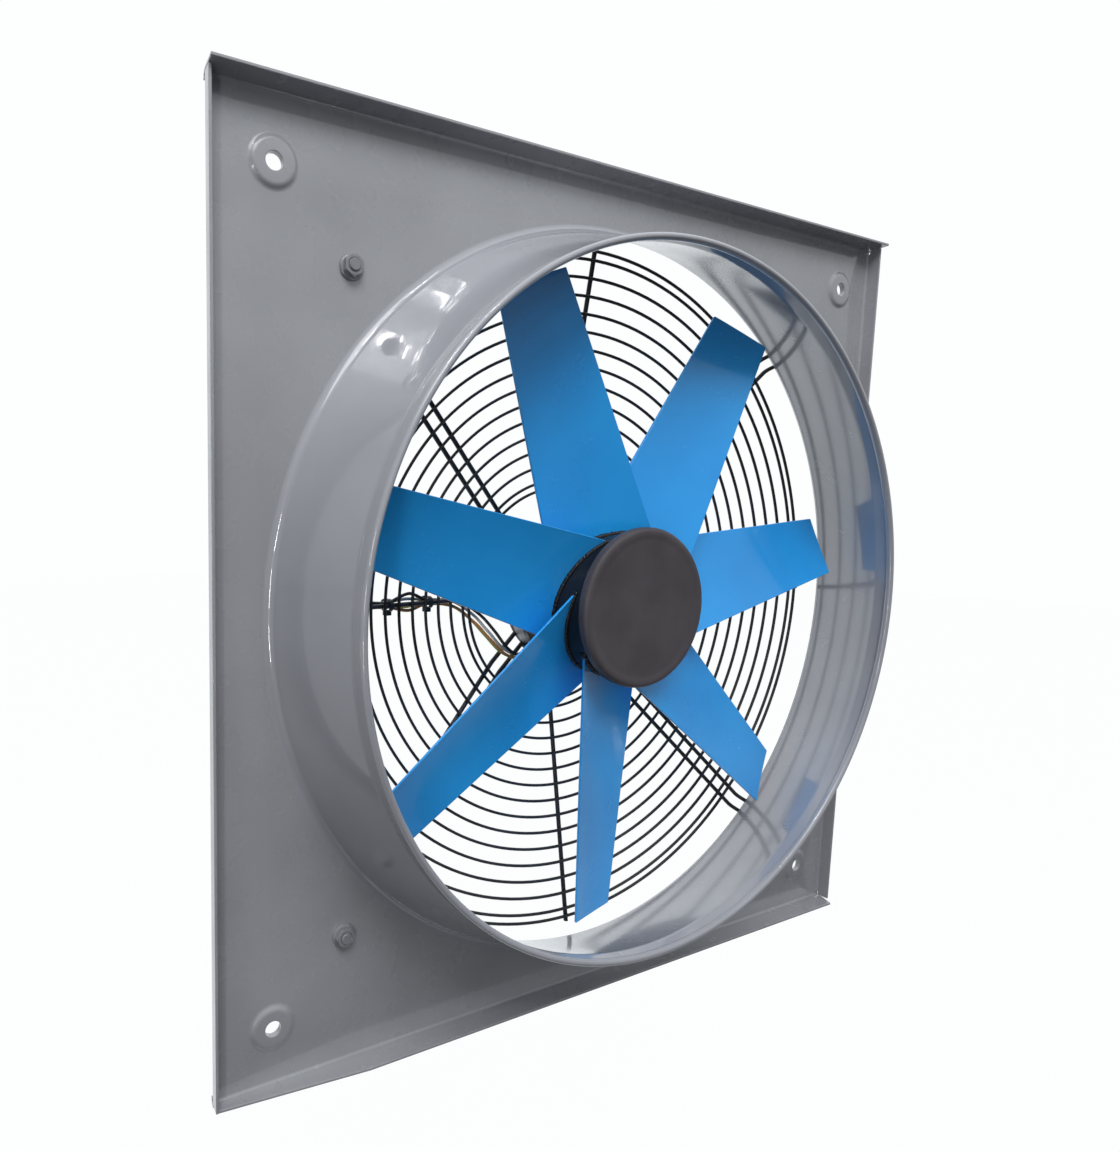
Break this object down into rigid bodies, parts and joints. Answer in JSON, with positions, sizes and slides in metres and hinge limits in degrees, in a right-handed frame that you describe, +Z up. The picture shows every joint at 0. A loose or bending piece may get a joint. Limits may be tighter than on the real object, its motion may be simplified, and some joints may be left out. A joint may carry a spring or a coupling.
{
  "type": "wall mounted axial fan",
  "caption": "Wall mounted axial fan: square plate with folded edges, conical discharge cowl, blue sheet blades on an external rotor motor held by a dished wire guard.",
  "frame": {"origin": "centre of the four wall holes, on the fan's axis in the plane of the plate's wall side", "axes": "+Y into the wall along the fan's axis, +Z up, +X to the right as seen from the room; the cowl and the hub cover point to -Y"},
  "size_m": [0.64, 0.1443, 0.64],
  "materials": {
    "plate_paint": "gloss powder coat, light grey",
    "cowl_paint": "gloss powder coat, light grey",
    "guard_black": "satin black coat",
    "zinc": "bright zinc plate",
    "nut_grey": "painted over with the plate",
    "mount_black": "satin black coat",
    "cast_alloy": "die cast",
    "bearing_steel": "ground",
    "spring_steel": "oiled",
    "core_steel": "stacked sheets",
    "copper": "varnished copper wire",
    "rubber_black": "matt",
    "lead_black": "soft sleeve",
    "lead_brown": "soft sleeve",
    "lead_grey": "soft sleeve",
    "lead_earth": "soft sleeve, green and yellow",
    "nylon_black": "satin",
    "box_grey": "fine textured",
    "block_white": "satin",
    "brass": "turned",
    "drum_black": "satin black coat",
    "cover_grey": "satin, charcoal",
    "blade_blue": "gloss coat, blue"
  },
  "bodies": {
    "housing": {"wall_plate": "plate_paint", "cowl_ring": "cowl_paint", "guard_rings": "guard_black", "guard_arms": "guard_black", "guard_struts": "guard_black", "guard_bolts": "zinc", "guard_washers": "zinc", "guard_nuts": "nut_grey", "motor_mount_plate": "mount_black", "motor_flange": "cast_alloy", "motor_screws": "zinc", "motor_lock_washers": "zinc", "bearing_cap": "zinc", "rear_bearing": "bearing_steel", "front_bearing": "bearing_steel", "preload_spring": "spring_steel", "stator_core": "core_steel", "stator_winding": "copper", "lead_grommet": "rubber_black", "lead_black": "lead_black", "lead_brown": "lead_brown", "lead_grey": "lead_grey", "lead_earth": "lead_earth", "lead_ties": "nylon_black", "box_bracket": "zinc", "strut_clips": "zinc", "clip_screws": "zinc", "terminal_box": "box_grey", "box_screws": "zinc", "box_lid": "box_grey", "lid_seal": "rubber_black", "lid_screws": "zinc", "box_grommet": "rubber_black", "supply_gland": "nylon_black", "gland_nut": "nylon_black", "terminal_block": "block_white", "terminal_screws": "brass"},
    "impeller": {"shaft": "bearing_steel", "shaft_circlip": "spring_steel", "rotor_drum": "drum_black", "rotor_core": "core_steel", "rotor_cage": "cast_alloy", "hub_cover": "cover_grey", "blade_1": "blade_blue", "blade_2": "blade_blue", "blade_3": "blade_blue", "blade_4": "blade_blue", "blade_5": "blade_blue", "blade_6": "blade_blue", "blade_7": "blade_blue"}
  },
  "joints": [
    {"name": "impeller_spin", "type": "hinge", "parent": "housing", "child": "impeller", "pos_m": [0, 0, 0], "axis": [0, 1, 0], "continuous": true}
  ]
}
